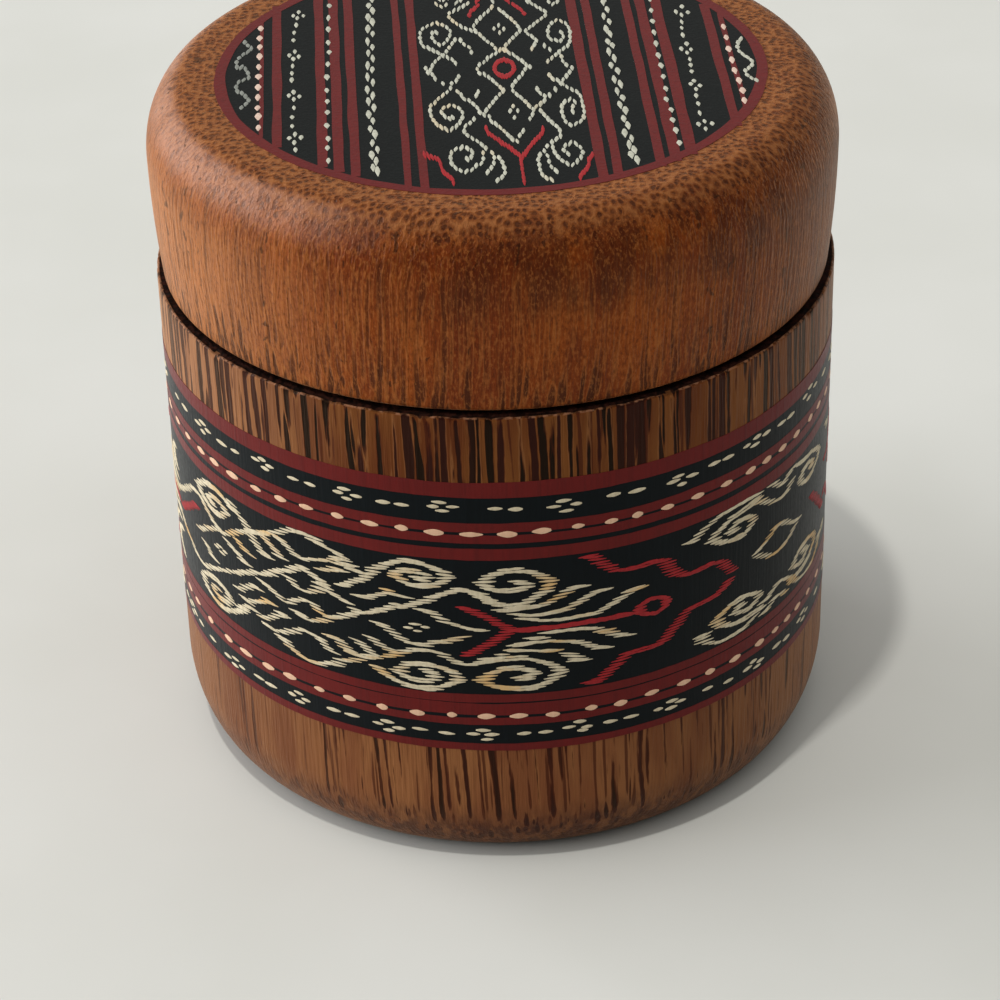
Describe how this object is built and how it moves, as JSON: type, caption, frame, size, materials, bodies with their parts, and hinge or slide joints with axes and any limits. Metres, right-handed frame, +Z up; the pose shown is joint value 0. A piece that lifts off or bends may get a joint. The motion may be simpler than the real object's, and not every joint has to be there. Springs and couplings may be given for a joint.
{
  "type": "trinket box",
  "caption": "Round turned wooden trinket box with straight sides, a tucked-in foot and a hollow, soft-shouldered lid that lifts off a raised inner ring.",
  "frame": {"origin": "centre of the flat underside, on the axis of turning", "axes": "+Z up along the axis of turning, from the underside to the lid; -Y towards the side that the picture shows"},
  "size_m": [0.08, 0.08, 0.0843],
  "materials": {
    "base_wood": "satin lacquered palm wood, orange-brown with near-black streaks",
    "lid_wood": "satin lacquered palm wood, reddish brown with fine fibres",
    "black_paint": "thin satin blue-black paint on wood",
    "red_paint": "thin satin dark red paint on wood",
    "scarlet_paint": "thin satin bright red paint strokes",
    "cream_paint": "thin satin cream paint strokes",
    "peach_paint": "thin satin peach paint dots"
  },
  "bodies": {
    "base_body": {"base": "base_wood"},
    "lid_body": {"lid": "lid_wood"}
  },
  "joints": [
    {"name": "lid_lift", "type": "slide", "parent": "base_body", "child": "lid_body", "axis": [0, 0, 1], "range_m": [0, 0.04]}
  ]
}
